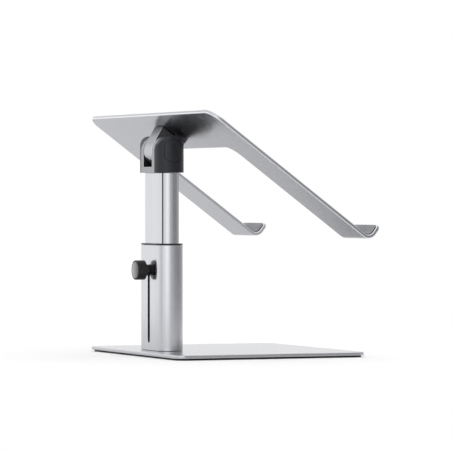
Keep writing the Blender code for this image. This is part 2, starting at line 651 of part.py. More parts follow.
def bent_sheet(name, outline, low, high, edge_radius=0.0):
    """Flat sheet cut to an outline, its edges rounded, then bent up at the hooks."""
    bm = bmesh.new()
    extrude_outline(bm, outline, low, high, "z")
    bmesh.ops.recalc_face_normals(bm, faces=bm.faces)
    if edge_radius:
        rims = [edge for edge in bm.edges if edge.verts[0].co.z == edge.verts[1].co.z]
        bmesh.ops.bevel(bm, geom=rims, offset=edge_radius, segments=2, profile=0.5,
                        affect="EDGES", clamp_overlap=True)
    bend_length = (HOOK_INNER_RADIUS + PLATE_THICKNESS / 2) * math.pi / 2
    for step in range(BEND_STEPS + 1):
        line = -HOOK_BEND_START - bend_length * step / BEND_STEPS
        bmesh.ops.bisect_plane(bm, geom=bm.verts[:] + bm.edges[:] + bm.faces[:],
                               plane_co=(0, line, 0), plane_no=(0, 1, 0))
    for vertex in bm.verts:
        vertex.co = bend_up(vertex.co)
    return finish_mesh(name, bm)


def build_support_plate(platform):
    """Plate, seen level: its underside is PLATE_OFFSET above the hinge axis."""
    half = PLATE_WIDTH / 2
    gap = PLATE_GAP / 2
    tip = -HOOK_BEND_START - flat_length_to(HOOK_HEIGHT)
    outline = rounded_outline([(half, PLATE_REAR, PLATE_REAR_CORNER),
                               (-half, PLATE_REAR, PLATE_REAR_CORNER),
                               (-half, tip, HOOK_CORNER), (-gap, tip, HOOK_CORNER),
                               (-gap, -PLATE_BRIDGE_FRONT, PLATE_INNER_CORNER),
                               (gap, -PLATE_BRIDGE_FRONT, PLATE_INNER_CORNER),
                               (gap, tip, HOOK_CORNER), (half, tip, HOOK_CORNER)])
    plate = bent_sheet("support_plate", outline, PLATE_OFFSET, PLATE_OFFSET + PLATE_THICKNESS,
                       PLATE_EDGE)
    place(combine(plate, plate_screw_holes()), ANODISED, platform)


def plate_screw_places():
    half = PLATE_SCREW_SPACING / 2
    return {"front_left": (-half, -PLATE_SCREW_FRONT), "front_right": (half, -PLATE_SCREW_FRONT),
            "rear_left": (-half, PLATE_SCREW_REAR), "rear_right": (half, PLATE_SCREW_REAR)}


def plate_screw_holes():
    length = PLATE_SCREW_LENGTH + TOUCH_GAP + SCREW_SINK
    return [screw_hole(length, x, y, PLATE_OFFSET + PLATE_THICKNESS)
            for x, y in plate_screw_places().values()]


def build_tongue(platform):
    """Knuckle that hangs from the plate into the yoke's slot."""
    top = PLATE_OFFSET - TOUCH_GAP
    rear = TONGUE_RADIUS / math.cos(TONGUE_FLARE) + top * math.tan(TONGUE_FLARE)
    lowest = -math.asin(math.sqrt(TONGUE_RADIUS ** 2 - TONGUE_FRONT ** 2) / TONGUE_RADIUS)
    outline = arc((0, 0), TONGUE_RADIUS, math.pi - lowest, 2 * math.pi - TONGUE_FLARE,
                  ROUND_STEPS)
    outline += [(rear, top), (-TONGUE_FRONT, top)]
    tongue = prism("hinge_tongue", outline, -TONGUE_HALF_WIDTH, TONGUE_HALF_WIDTH, "x")
    soften(tongue, TONGUE_EDGE)
    reach = TONGUE_HALF_WIDTH + CUT_OVERRUN
    bore = pin("bore", BUSH_RADIUS + TOUCH_GAP, -reach, reach, "x", steps=ROUND_STEPS // 2)
    place(combine(tongue, [bore] + plate_screw_holes()), ANODISED, platform)

    for name, side in (("left", -1), ("right", 1)):
        inner = BOLT_RADIUS + RUNNING_GAP
        bush = turned("hinge_bush_" + name, [(BUSH_RADIUS, TOUCH_GAP / 2),
                                             (BUSH_RADIUS, TONGUE_HALF_WIDTH),
                                             (inner, TONGUE_HALF_WIDTH), (inner, TOUCH_GAP / 2)],
                      hollow=True, steps=ROUND_STEPS // 2)
        place(bush, GLIDE_PLASTIC, platform, rotation=(0, side * math.pi / 2, 0))
    for corner, (x, y) in plate_screw_places().items():
        place(flat_head_screw("plate_screw_" + corner, PLATE_SCREW_LENGTH), STEEL, platform,
              location=(x, y, PLATE_OFFSET + PLATE_THICKNESS - SCREW_SINK))


def build_pads(platform):
    """Soft strips on the plate's upper side and inside its hooks."""
    low = PLATE_OFFSET + PLATE_THICKNESS + TOUCH_GAP
    high = low + PAD_THICKNESS
    liner_half = ARM_WIDTH / 2 - PAD_SIDE_INSET
    liner_end = -HOOK_BEND_START - flat_length_to(HOOK_HEIGHT - HOOK_LINER_TOP_INSET)
    liner_start = -HOOK_BEND_START + HOOK_LINER_RUN
    pad_front = liner_start + ARM_PAD_TO_LINER
    pad_half = ARM_WIDTH / 2 - ARM_PAD_SIDE_INSET
    rear_pad_half = PLATE_WIDTH / 2 - REAR_PAD_END_INSET
    for name, side in (("left", -1), ("right", 1)):
        middle = side * ARM_MIDDLE
        strip = rectangle(middle - liner_half, middle + liner_half, liner_end, liner_start,
                          PAD_CORNER)
        place(bent_sheet("hook_liner_" + name, strip, low, high), SILICONE, platform)
        strip = rectangle(middle - pad_half, middle + pad_half, pad_front,
                          -PLATE_BRIDGE_FRONT - ARM_PAD_REAR_INSET, PAD_CORNER)
        place(prism("arm_pad_" + name, strip, low, high), SILICONE, platform)
    strip = rectangle(-rear_pad_half, rear_pad_half,
                      PLATE_REAR - REAR_PAD_INSET - REAR_PAD_WIDTH,
                      PLATE_REAR - REAR_PAD_INSET, PAD_CORNER)
    place(prism("rear_pad", strip, low, high), SILICONE, platform)


def build_stand():
    mast = frame_at("mast_frame", location=(0, 0, HINGE_HEIGHT))
    platform = frame_at("platform_frame", mast, rotation=(TILT, 0, 0))
    clamp = frame_at("clamp_frame", mast, location=(0, OUTER_TUBE_RADIUS,
                                                    STUD_HIGH - HINGE_HEIGHT),
                     rotation=(-math.pi / 2, 0, 0))
    build_base()
    build_outer_column()
    build_mast(mast)
    build_yoke(mast)
    build_covers(mast)
    build_hinge_pin(mast)
    build_clamp(clamp)
    build_support_plate(platform)
    build_tongue(platform)
    build_pads(platform)


build_stand()
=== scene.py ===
"""Finished look of the laptop stand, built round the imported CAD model.

Metres, +Z up, in the CAD model's frame.  Each piece that shows is made again here with
fine rounded edges, and the pieces inside keep their CAD shape with a better finish.
"""

import json
import math

import bmesh
import bpy
from mathutils import Matrix, Vector


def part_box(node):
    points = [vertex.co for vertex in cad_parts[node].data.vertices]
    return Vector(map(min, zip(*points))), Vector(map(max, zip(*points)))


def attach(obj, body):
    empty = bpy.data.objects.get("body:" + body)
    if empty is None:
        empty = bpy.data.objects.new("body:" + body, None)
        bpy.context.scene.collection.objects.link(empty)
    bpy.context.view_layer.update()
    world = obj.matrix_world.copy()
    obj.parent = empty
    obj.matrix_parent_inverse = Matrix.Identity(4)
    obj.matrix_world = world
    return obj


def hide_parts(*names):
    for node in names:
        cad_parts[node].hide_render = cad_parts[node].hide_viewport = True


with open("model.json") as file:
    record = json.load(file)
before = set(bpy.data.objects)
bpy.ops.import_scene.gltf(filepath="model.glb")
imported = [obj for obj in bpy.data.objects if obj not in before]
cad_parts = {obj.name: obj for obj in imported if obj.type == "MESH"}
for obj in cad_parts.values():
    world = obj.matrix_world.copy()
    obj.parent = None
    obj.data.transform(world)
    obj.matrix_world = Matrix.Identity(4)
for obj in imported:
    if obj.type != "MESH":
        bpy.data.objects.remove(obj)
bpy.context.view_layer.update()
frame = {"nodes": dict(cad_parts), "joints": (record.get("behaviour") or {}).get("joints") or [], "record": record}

JOINTS = {joint["name"]: joint for joint in frame["joints"]}
HINGE = Vector(JOINTS["plate_tilt"]["pos_m"])
TILT = math.radians(-JOINTS["plate_tilt"]["range_deg"][0])
STUD_HEIGHT = JOINTS["clamp_turn"]["pos_m"][2]

# ---- sizes read from the CAD model -----------------------------------------------------
BASE_LOW, BASE_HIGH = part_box("base_plate")
OUTER_LOW, OUTER_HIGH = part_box("outer_tube")
INNER_LOW, INNER_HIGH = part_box("inner_tube")
COLLAR_LOW, COLLAR_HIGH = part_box("top_collar")
YOKE_LOW, YOKE_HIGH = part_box("yoke")
PLATE_LOW, PLATE_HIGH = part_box("support_plate")
OUTER_RADIUS = OUTER_HIGH.y
INNER_RADIUS = INNER_HIGH.y
HALF_FLAT = OUTER_HIGH.x - OUTER_HIGH.y
HEAD_RADIUS = YOKE_HIGH.y
YOKE_HALF = YOKE_HIGH.x
HEAD_HALF_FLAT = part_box("side_cover_right")[1].x - HEAD_RADIUS
HEAD_DROP = HINGE.z - YOKE_LOW.z
PLATE_WIDTH = PLATE_HIGH.x - PLATE_LOW.x

# ---- sizes inside those, as in the CAD model -------------------------------------------
GAP = 0.0003
TOUCH = GAP / 10               # a face this near a plane counts as on it
SCREW_GAP = 0.0003
BASE_CORNER = 0.009
TUBE_WALL = 0.0018
SLOT_RADIUS = 0.00265
STUD_RADIUS = 0.00235
SLOT_START = 0.01              # from the base plate up to the slot
GROOVE_RADIUS = 0.0007
GROOVE_ANGLE = math.radians(57)
FOOT_TOP = 0.009
FOOT_SCREWS = [(x, y) for x in (-0.013, 0.013) for y in (-0.005, 0.005)]
YOKE_RAIL = 0.0053
TONGUE_RADIUS = HEAD_RADIUS - 0.0002
TONGUE_HALF = 0.00955
TONGUE_FRONT = 0.0109
TONGUE_FLARE = math.radians(6)
WINDOW_HALF = 0.01
BOLT_RADIUS = 0.003
BUSH_RADIUS = 0.0052
PEG_RADIUS = 0.0015
PEG_LENGTH = 0.0025
PEGS = [(-0.0085, 0.0038 - HEAD_DROP), (0.0085, 0.0038 - HEAD_DROP)]
CAP_RADIUS = 0.0102
CAP_HALF_WIDTH = 0.0083
CAP_LEDGE = 0.0088
CAP_DEPTH = 0.0055
CAP_SEAT = HEAD_HALF_FLAT + HEAD_RADIUS - CAP_DEPTH
CAP_PROUD = 0.0001
SCREW_RADIUS = 0.0019
SCREW_HEAD_RADIUS = 0.0038
SCREW_HEAD_HEIGHT = 0.0019
SCREW_CHAMFER = 0.00012
SCREW_SINK = 0.0001
SOCKET_RADIUS = 0.0014
SOCKET_DEPTH = 0.0011
YOKE_SCREWS = [(-0.0048, 0.0), (0.0048, 0.0)]
YOKE_SCREW_LENGTH = 0.015
PLATE_SCREWS = {"front_left": (-0.0052, -0.0055), "front_right": (0.0052, -0.0055),
                "rear_left": (-0.0052, 0.0085), "rear_right": (0.0052, 0.0085)}
PLATE_SCREW_LENGTH = 0.0117
PLATE_CLEARANCE = 0.0026       # between the round head and the plate
PLATE_OFFSET = HEAD_RADIUS + PLATE_CLEARANCE
PLATE_THICKNESS = 0.0034
PLATE_GAP = 0.2
PLATE_REAR = 0.0313
PLATE_BRIDGE_FRONT = 0.0188
PLATE_REACH = 0.1591
PLATE_REAR_CORNER = 0.0135
PLATE_INNER_CORNER = 0.0115
HOOK_HEIGHT = 0.0172
HOOK_INNER_RADIUS = 0.0054
HOOK_CORNER = 0.0055
HOOK_BEND_START = PLATE_REACH - HOOK_INNER_RADIUS - PLATE_THICKNESS
PAD_THICKNESS = 0.0012
PAD_CORNER = 0.002
LINER_HALF = 0.0223
LINER_FLAT = 0.009             # how far a liner runs back along the arm
LINER_START = LINER_FLAT - HOOK_BEND_START
LINER_TOP_INSET = 0.0015
ARM_MIDDLE = (PLATE_WIDTH + PLATE_GAP) / 4
ARM_PAD_HALF = 0.014
ARM_PAD_FRONT = LINER_START + 0.006
ARM_PAD_REAR = -PLATE_BRIDGE_FRONT - 0.012
REAR_PAD_HALF = PLATE_WIDTH / 2 - 0.0376
REAR_PAD_REAR = PLATE_REAR - 0.0055
REAR_PAD_WIDTH = 0.011
KNOB_RADIUS = 0.00875
KNOB_NECK_RADIUS = 0.00495
WASHER_THICKNESS = 0.001
KNOB_NECK_LENGTH = 0.003
KNOB_LENGTH = 0.0086
KNOB_NECK = GAP + WASHER_THICKNESS + GAP
KNOB_BODY = KNOB_NECK + KNOB_NECK_LENGTH
KNOB_END = KNOB_BODY + KNOB_LENGTH
KNOB_RIM = 0.0009
KNOB_CAP = 0.001

# ---- roundings of the edges ------------------------------------------------------------
BASE_EDGE = 0.0006
OUTER_TUBE_EDGE = 0.00025
INNER_TUBE_EDGE = 0.0002
SLOT_EDGE = 0.00022
YOKE_EDGE = 0.0004
COVER_EDGE = 0.0006
CAP_EDGE = 0.00025
WASHER_EDGE = 0.0002
PLATE_EDGE = 0.0009
TONGUE_EDGE = 0.0004
PAD_EDGE = 0.0004

# ---- fineness of the meshes ------------------------------------------------------------
ROUND = 56                     # steps in a half circle of the column and the head
SMALL = 28                     # the same on screws
CORNER = 14                    # steps in a quarter circle of an outline
WIDE_CORNER = 20               # the same on the base plate
PLATE_CORNER_STEPS = 16        # and on the support plate
GROOVE_STEPS = 10              # steps in a half circle of a groove
BEND = 26                      # steps in a hook's bend
OVERRUN = 0.001                # how far a cutter passes the face it cuts
SHARP_EDGE = math.radians(50)  # edges at least this sharp are rounded
SMOOTH_ANGLE = math.radians(35)
NORMAL_WEIGHT = 80

MAST = Matrix.Translation(HINGE)
PLATFORM = MAST @ Matrix.Rotation(TILT, 4, "X")
CLAMP = (Matrix.Translation((0, OUTER_RADIUS, STUD_HEIGHT))
         @ Matrix.Rotation(-math.pi / 2, 4, "X"))
WORLD = Matrix.Identity(4)


# ---- materials -------------------------------------------------------------------------
NOISE_LOW, NOISE_HIGH = 0.3, 0.7   # most values of a noise lie between these
METAL_GRAIN = 5200                 # grains of blasted metal in a metre
COARSE_GRAIN = 3600
GRAIN_HEIGHT = 0.000006
MOULD_GRAIN = 3600
MOULD_DEPTH = 0.4


class Surface:
    """A Principled material whose colour, roughness and normal come from noise nodes."""

    def __init__(self, name, roughness, metallic=0.0):
        self.material = bpy.data.materials.new(name)
        self.material.use_nodes = True
        self.tree = self.material.node_tree
        self.shader = self.tree.nodes["Principled BSDF"]
        self.shader.inputs["Metallic"].default_value = metallic
        self.shader.inputs["Roughness"].default_value = roughness
        self.place = self.tree.nodes.new("ShaderNodeTexCoord").outputs["Object"]
        self.normal = None

    def node(self, kind, **settings):
        made = self.tree.nodes.new(kind)
        for key, value in settings.items():
            setattr(made, key, value)
        return made

    def link(self, source, target):
        self.tree.links.new(source, target)

    def noise(self, scale, detail=2.0, stretch=(1, 1, 1), roughness=0.5):
        place = self.place
        if tuple(stretch) != (1, 1, 1):
            mapping = self.node("ShaderNodeMapping")
            mapping.inputs["Scale"].default_value = stretch
            self.link(place, mapping.inputs["Vector"])
            place = mapping.outputs["Vector"]
        noise = self.node("ShaderNodeTexNoise")
        noise.inputs["Scale"].default_value = scale
        noise.inputs["Detail"].default_value = detail
        noise.inputs["Roughness"].default_value = roughness
        self.link(place, noise.inputs["Vector"])
        return noise.outputs["Fac"]

    def cells(self, scale):
        cells = self.node("ShaderNodeTexVoronoi")
        cells.inputs["Scale"].default_value = scale
        self.link(self.place, cells.inputs["Vector"])
        return cells.outputs["Distance"]

    def spread(self, value, low, high, start=NOISE_LOW, end=NOISE_HIGH):
        """Map a value from one range onto another."""
        ranged = self.node("ShaderNodeMapRange")
        for key, number in (("From Min", start), ("From Max", end), ("To Min", low),
                            ("To Max", high)):
            ranged.inputs[key].default_value = number
        self.link(value, ranged.inputs["Value"])
        return ranged.outputs["Result"]

    def colours(self, value, dark, light):
        ramp = self.node("ShaderNodeValToRGB")
        for element, position, colour in zip(ramp.color_ramp.elements, (NOISE_LOW, NOISE_HIGH),
                                             (dark, light)):
            element.position = position
            element.color = (*colour, 1)
        self.link(value, ramp.inputs["Fac"])
        self.link(ramp.outputs["Color"], self.shader.inputs["Base Color"])

    def rough(self, value, low, high):
        self.link(self.spread(value, low, high), self.shader.inputs["Roughness"])

    def bump(self, value, strength, distance):
        bump = self.node("ShaderNodeBump")
        bump.inputs["Strength"].default_value = strength
        bump.inputs["Distance"].default_value = distance
        self.link(value, bump.inputs["Height"])
        if self.normal is not None:
            self.link(self.normal, bump.inputs["Normal"])
        self.normal = bump.outputs["Normal"]
        self.link(self.normal, self.shader.inputs["Normal"])


def shade(colour, factor):
    return tuple(min(1.0, channel * factor) for channel in colour)


def blasted_metal(name, colour, roughness, grain=METAL_GRAIN):
    """Bead-blasted and anodised aluminium: fine even grain and a slow change of sheen."""
    surface = Surface(name, roughness, 1.0)
    surface.colours(surface.noise(34, 3), shade(colour, 0.98), shade(colour, 1.02))
    surface.rough(surface.noise(210, 4), roughness - 0.025, roughness + 0.025)
    surface.bump(surface.noise(grain, 1, roughness=0.7), 0.04, GRAIN_HEIGHT)
    return surface.material


def drawn_metal(name, colour, roughness):
    """Extruded and anodised tube: fine lines along its length."""
    surface = Surface(name, roughness, 1.0)
    lines = surface.noise(700, 3, stretch=(1, 1, 0.004), roughness=0.6)
    surface.colours(lines, shade(colour, 0.965), shade(colour, 1.035))
    surface.rough(surface.noise(160, 3), roughness - 0.02, roughness + 0.02)
    surface.bump(lines, 0.1, GRAIN_HEIGHT)
    surface.bump(surface.noise(METAL_GRAIN, 1), 0.08, GRAIN_HEIGHT)
    return surface.material


def fading_metal(name, colour, roughness, way, stops, grazing=1.0):
    """Blasted metal whose colour is scaled by the stops' levels along one direction.

    The direction is the piece's own.  Grazing below 1 dims it where it is seen edge on.
    """
    surface = Surface(name, roughness, 1.0)
    surface.shader.inputs["Specular Tint"].default_value = (grazing, grazing, grazing, 1)
    along = surface.node("ShaderNodeVectorMath", operation="DOT_PRODUCT")
    surface.link(surface.place, along.inputs[0])
    along.inputs[1].default_value = way
    low, high = stops[0][0], stops[-1][0]
    ramp = surface.node("ShaderNodeValToRGB")
    surface.link(surface.spread(along.outputs["Value"], 0, 1, low, high), ramp.inputs["Fac"])
    elements = ramp.color_ramp.elements
    for index, (place, level) in enumerate(stops):
        part = (place - low) / (high - low)
        element = elements[index] if index < 2 else elements.new(part)
        element.position = part
        element.color = (*shade(colour, level), 1)
    blend = surface.node("ShaderNodeMix", data_type="RGBA", blend_type="MULTIPLY")
    blend.inputs["Factor"].default_value = 1
    grain = surface.node("ShaderNodeValToRGB")
    grain.color_ramp.elements[0].color = (0.96, 0.96, 0.96, 1)
    surface.link(surface.noise(90, 4), grain.inputs["Fac"])
    surface.link(ramp.outputs["Color"], blend.inputs["A"])
    surface.link(grain.outputs["Color"], blend.inputs["B"])
    surface.link(blend.outputs["Result"], surface.shader.inputs["Base Color"])
    surface.rough(surface.noise(210, 4), roughness - 0.025, roughness + 0.025)
    surface.bump(surface.noise(METAL_GRAIN, 1, roughness=0.7), 0.04, GRAIN_HEIGHT)
    return surface.material


def moulded(name, colour, roughness, shine=0.5):
    """Moulded plastic with a fine spark-eroded texture."""
    surface = Surface(name, roughness)
    surface.shader.inputs["Specular IOR Level"].default_value = shine
    surface.colours(surface.noise(90, 4), shade(colour, 0.88), shade(colour, 1.12))
    surface.rough(surface.noise(420, 3), roughness - 0.05, roughness + 0.05)
    surface.bump(surface.cells(MOULD_GRAIN), MOULD_DEPTH, 0.00001)
    surface.bump(surface.noise(MOULD_GRAIN / 3, 2), MOULD_DEPTH / 2, 0.00002)
    return surface.material


def elastomer(name, colour, roughness):
    """Silicone or rubber: matt, slightly dusty, with a soft fine grain."""
    surface = Surface(name, roughness)
    surface.colours(surface.noise(160, 5), shade(colour, 0.9), shade(colour, 1.15))
    surface.rough(surface.noise(600, 2), roughness - 0.06, roughness + 0.06)
    surface.bump(surface.noise(2600, 3, roughness=0.7), 0.5, 0.00002)
    return surface.material


def turned_steel(name, colour, roughness):
    """Zinc-plated steel with the faint marks of turning and rolling."""
    surface = Surface(name, roughness, 1.0)
    surface.colours(surface.noise(260, 4), shade(colour, 0.86), shade(colour, 1.1))
    surface.rough(surface.noise(900, 3), roughness - 0.06, roughness + 0.08)
    surface.bump(surface.noise(1500, 2, stretch=(1, 1, 6)), 0.4, 0.00001)
    return surface.material


SILVER = (0.463, 0.467, 0.49)
HEAD_METAL = (0.262, 0.265, 0.28)

# Gradients of the support plate, the tongue and the knob's disc: where a point lies along the
# gradient's direction, in metres, and how light the metal is there.  They are painted in place
# of shade and reflections, and were set for the camera's view, so from other sides they
# stay where they are on the pieces.
PLATE_FADE = [(-0.15, 1.15), (0.0, 1.08), (0.08, 1.0), (0.2, 0.91), (0.28, 0.72)]
TONGUE_FADE = [(0.188, 1.3), (0.196, 1.1), (0.203, 0.75), (0.21, 0.12)]
TONGUE_EDGE_FADE = [(0.188, 1.25), (0.196, 1.0), (0.204, 0.5), (0.21, 0.12)]
DISC_FADE = [(-0.0078, 0.07), (-0.004, 0.15), (0.002, 0.42), (0.0078, 0.68)]
DISC_EDGE_FADE = [(-0.0078, 0.08), (0.0078, 0.45)]
ALONG_X, ALONG_Z, TO_NEAR_HOOK = (1, 0, 0), (0, 0, 1), (-1, -1, 0)

# Each finish has two materials: the surface's own, and the one on its rounded edges.
# The edge one is mostly lighter, partly for wear and cut edges and partly as a painted
# highlight; on the support plate and the yoke it is lightened most, as a painted highlight
# line along the edges.
MATERIALS = {
    "anodised_aluminium": (
        fading_metal("anodised_aluminium_blasted", SILVER, 0.22, TO_NEAR_HOOK, PLATE_FADE,
                     0.74),
        blasted_metal("anodised_aluminium_edge", shade(SILVER, 1.35), 0.3)),
    "base_aluminium": (
        blasted_metal("base_aluminium_blasted", SILVER, 0.22),
        blasted_metal("base_aluminium_edge", shade(SILVER, 1.06), 0.2)),
    "tube_aluminium": (
        drawn_metal("tube_aluminium_drawn", SILVER, 0.19),
        drawn_metal("tube_aluminium_edge", shade(SILVER, 1.15), 0.18)),
    "yoke_aluminium": (
        blasted_metal("yoke_aluminium_blasted", HEAD_METAL, 0.4, COARSE_GRAIN),
        blasted_metal("yoke_aluminium_edge", shade(HEAD_METAL, 1.2), 0.34, COARSE_GRAIN)),
    "tongue_aluminium": (
        fading_metal("tongue_aluminium_front", shade(SILVER, 0.88), 0.24, ALONG_Z, TONGUE_FADE,
                     0.45),
        fading_metal("tongue_aluminium_edge", SILVER, 0.22, ALONG_Z, TONGUE_EDGE_FADE, 0.5)),
    # The knob's disc is darker towards -X and lighter towards +X: painted shade and reflection.
    "knob_disc": (
        fading_metal("knob_disc_painted_reflection", SILVER, 0.26, ALONG_X, DISC_FADE),
        fading_metal("knob_disc_edge", SILVER, 0.26, ALONG_X, DISC_EDGE_FADE)),
    "dark_plastic": (moulded("dark_plastic_moulded", (0.0095, 0.0102, 0.0142), 0.38, shine=0.3),
                     moulded("dark_plastic_edge", (0.0145, 0.0155, 0.02), 0.34, shine=0.5)),
    "black_plastic": (moulded("black_plastic_moulded", (0.006, 0.006, 0.0065), 0.4, shine=0.35),
                      moulded("black_plastic_edge", (0.008, 0.008, 0.0085), 0.36)),
    "glide_plastic": (moulded("glide_plastic_moulded", (0.05, 0.05, 0.052), 0.5),) * 2,
    "steel": (turned_steel("steel_plated", (0.42, 0.42, 0.43), 0.33),
              turned_steel("steel_edge", (0.5, 0.5, 0.51), 0.26)),
    "base_rubber": (elastomer("base_rubber_sheet", (0.016, 0.016, 0.016), 0.8),) * 2,
    "grey_silicone": (elastomer("grey_silicone_matt", (0.235, 0.237, 0.245), 0.68),) * 2,
}
# Faces painted darker than the rest of their piece, in place of shade.
BASE_SIDE = blasted_metal("base_aluminium_side", shade(SILVER, 0.72), 0.25)
GROOVE_METAL = drawn_metal("tube_aluminium_groove", shade(SILVER, 0.2), 0.4)
TONGUE_SIDE = blasted_metal("tongue_aluminium_side", shade(SILVER, 0.2), 0.3)
YOKE_INSIDE = moulded("yoke_inside_painted_shade", (0.006, 0.006, 0.007), 0.55, shine=0.2)


# ---- outlines --------------------------------------------------------------------------
def arc(centre, radius, start, end, steps):
    angles = [start + (end - start) * step / steps for step in range(steps + 1)]
    return [(centre[0] + radius * math.cos(angle), centre[1] + radius * math.sin(angle))
            for angle in angles]


def slot_shape(half_flat, radius, steps):
    """A circle, or two half circles joined by flats along the first axis."""
    right = arc((half_flat, 0), radius, -math.pi / 2, math.pi / 2, steps)
    left = arc((-half_flat, 0), radius, math.pi / 2, 3 * math.pi / 2, steps)
    if half_flat == 0:
        return right[:-1] + left[:-1]
    return right + left


def rounded_outline(corners, steps=CORNER):
    """Polygon from (x, y, radius) corners, inside corners as well as outside ones."""
    points = []
    for index, (x, y, radius) in enumerate(corners):
        corner = Vector((x, y))
        if radius == 0:
            points.append((x, y))
            continue
        before = (Vector(corners[index - 1][:2]) - corner).normalized()
        after = (Vector(corners[(index + 1) % len(corners)][:2]) - corner).normalized()
        half_angle = before.angle(after) / 2
        centre = corner + (before + after).normalized() * radius / math.sin(half_angle)
        first = corner + before * radius / math.tan(half_angle) - centre
        last = corner + after * radius / math.tan(half_angle) - centre
        start = math.atan2(first.y, first.x)
        turn = math.atan2(last.y, last.x) - start
        turn = (turn + math.pi) % (2 * math.pi) - math.pi
        points += arc(centre, radius, start, start + turn, steps)
    return points


def rectangle(x_low, x_high, y_low, y_high, radius=0.0, steps=CORNER):
    return rounded_outline([(x_low, y_low, radius), (x_high, y_low, radius),
                            (x_high, y_high, radius), (x_low, y_high, radius)], steps)


def hexagon(radius):
    return [(radius * math.cos(math.pi * side / 3), radius * math.sin(math.pi * side / 3))
            for side in range(6)]


# ---- solids ----------------------------------------------------------------------------
def finish_mesh(name, bm):
    """Mesh object with places for two finishes: the surface's own, and its edges'."""
    bmesh.ops.recalc_face_normals(bm, faces=bm.faces)
    mesh = bpy.data.meshes.new(name)
    bm.to_mesh(mesh)
    bm.free()
    for stand_in in MATERIALS["steel"]:
        mesh.materials.append(stand_in)
    solid = bpy.data.objects.new(name, mesh)
    bpy.context.scene.collection.objects.link(solid)
    return solid


def extrude_outline(bm, outline, low, high, axis):
    to_space = {"x": lambda a, b, h: (h, a, b),
                "y": lambda a, b, h: (a, h, b),
                "z": lambda a, b, h: (a, b, h)}[axis]
    face = bm.faces.new([bm.verts.new(to_space(a, b, low)) for a, b in outline])
    swept = bmesh.ops.extrude_face_region(bm, geom=[face])["geom"]
    far_end = [item for item in swept if isinstance(item, bmesh.types.BMVert)]
    bmesh.ops.translate(bm, verts=far_end, vec=Vector(to_space(0, 0, high - low)))


def prism(name, outline, low, high, axis="z"):
    bm = bmesh.new()
    extrude_outline(bm, outline, low, high, axis)
    return finish_mesh(name, bm)


def turned(name, profile, half_flat=0.0, hollow=False, steps=SMALL):
    """Solid swept round Z from (radius, height) points, on a circle or a slot shape."""
    bm = bmesh.new()
    rings = [[bm.verts.new((x, y, height)) for x, y in slot_shape(half_flat, radius, steps)]
             for radius, height in profile]
    pairs = list(zip(rings, rings[1:]))
    if hollow:
        pairs.append((rings[-1], rings[0]))
    else:
        bm.faces.new(rings[0])
        bm.faces.new(rings[-1])
    for lower, upper in pairs:
        for index in range(len(lower)):
            following = (index + 1) % len(lower)
            bm.faces.new((lower[index], lower[following], upper[following], upper[index]))
    return finish_mesh(name, bm)


def lathe_profile(corners, steps=5):
    """Rounded (radius, height) profile of a solid piece, its ends running in to the axis."""
    low, high = corners[0][1], corners[-1][1]
    closed = rounded_outline([(0, low, 0)] + corners + [(0, high, 0)], steps)
    return [point for point in closed if point[0] > 0]


def settle(solid):
    depsgraph = bpy.context.evaluated_depsgraph_get()
    mesh = bpy.data.meshes.new_from_object(solid.evaluated_get(depsgraph))
    solid.modifiers.clear()
    mesh.name = solid.name
    solid.data = mesh


def combine(solid, others, operation="DIFFERENCE"):
    for other in others:
        modifier = solid.modifiers.new(other.name, "BOOLEAN")
        modifier.operation = operation
        modifier.solver = "EXACT"
        modifier.object = other
    settle(solid)
    for other in others:
        bpy.data.objects.remove(other, do_unlink=True)
    return solid


def soften(solid, width, segments=3, where=None):
    """Round the sharp outer edges and give them the edge finish."""
    bm = bmesh.new()
    bm.from_mesh(solid.data)
    edges = [edge for edge in bm.edges
             if len(edge.link_faces) == 2 and edge.is_convex
             and edge.calc_face_angle(0) > SHARP_EDGE
             and (where is None or where(edge))]
    made = bmesh.ops.bevel(bm, geom=edges, offset=width, segments=segments, profile=0.5,
                           affect="EDGES", clamp_overlap=True)
    for face in made["faces"]:
        face.material_index = 1
    bm.to_mesh(solid.data)
    bm.free()
    return solid


def pin(name, radius, start, end, axis="z", centre=(0.0, 0.0), steps=SMALL):
    outline = [(centre[0] + a, centre[1] + b) for a, b in slot_shape(0, radius, steps)]
    return prism(name, outline, start, end, axis)


def line_faces(solid, material, test):
    """Give the faces that pass a test, by centre and normal, a material of their own."""
    solid.data.materials.append(material)
    own = len(solid.data.materials) - 1
    for face in solid.data.polygons:
        if test(face.center, face.normal):
            face.material_index = own


def put(solid, finish, body, nodes, home=WORLD, location=(0, 0, 0), look=None):
    """Set a solid in place, give it its finish and let it stand for its CAD nodes.

    Its materials are those of the finish, or of the look where one is named.
    """
    solid.data.transform(home @ Matrix.Translation(location))
    solid.data.materials[0], solid.data.materials[1] = MATERIALS[look or finish]
    solid.data.shade_smooth()
    solid.data.set_sharp_from_angle(angle=SMOOTH_ANGLE)
    weighted = solid.modifiers.new("weighted", "WEIGHTED_NORMAL")
    weighted.keep_sharp = True
    weighted.weight = NORMAL_WEIGHT
    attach(solid, body)
    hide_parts(*nodes)
    return solid


# ---- fasteners -------------------------------------------------------------------------
def flat_head_screw(name, length):
    """Countersunk screw hanging down from z = 0, with a hexagon socket."""
    screw = turned(name, lathe_profile([(SCREW_RADIUS, -length, 0.0004),
                                        (SCREW_RADIUS, -SCREW_HEAD_HEIGHT, 0),
                                        (SCREW_HEAD_RADIUS, -SCREW_CHAMFER, 0.00008),
                                        (SCREW_HEAD_RADIUS - SCREW_CHAMFER, 0, 0)]))
    socket = prism("socket", hexagon(SOCKET_RADIUS), -SOCKET_DEPTH, OVERRUN)
    return combine(screw, [socket])


def screw_hole(length, x, y, z, upwards=False):
    hole = turned("screw_hole", [(SCREW_RADIUS + SCREW_GAP, -length),
                                 (SCREW_RADIUS + SCREW_GAP, -SCREW_HEAD_HEIGHT),
                                 (SCREW_HEAD_RADIUS + SCREW_GAP, 0),
                                 (SCREW_HEAD_RADIUS + SCREW_GAP, OVERRUN)])
    hole.location = (x, y, z)
    hole.rotation_euler = (math.pi if upwards else 0, 0, 0)
    return hole


